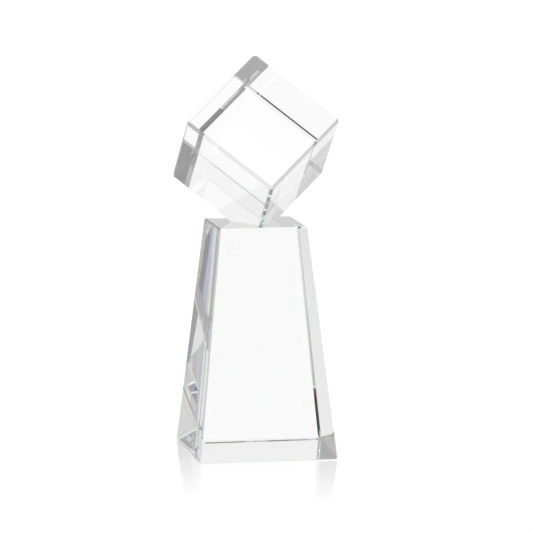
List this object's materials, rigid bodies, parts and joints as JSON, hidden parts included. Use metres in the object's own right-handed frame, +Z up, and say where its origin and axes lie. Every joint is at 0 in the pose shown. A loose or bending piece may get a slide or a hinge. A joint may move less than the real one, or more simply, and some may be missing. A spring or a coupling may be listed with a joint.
{
  "type": "crystal cube award",
  "caption": "Clear glass cube standing on one ground corner, bonded on a tall tapered square glass plinth; a free-standing award or display ornament.",
  "frame": {"origin": "middle of the plinth's underside, on the surface that the award stands on", "axes": "+Z up through the cube's raised corner, -Y towards the front, where one lower cube edge points, +X to the right seen from the front"},
  "size_m": [0.0828, 0.0956, 0.2171],
  "materials": {
    "cube_crystal": "polished clear optical glass",
    "plinth_crystal": "polished clear optical glass",
    "clear_adhesive": "cured clear adhesive"
  },
  "bodies": {
    "root": {"crystal_cube": "cube_crystal", "tapered_plinth": "plinth_crystal", "bond_film": "clear_adhesive"}
  },
  "joints": []
}
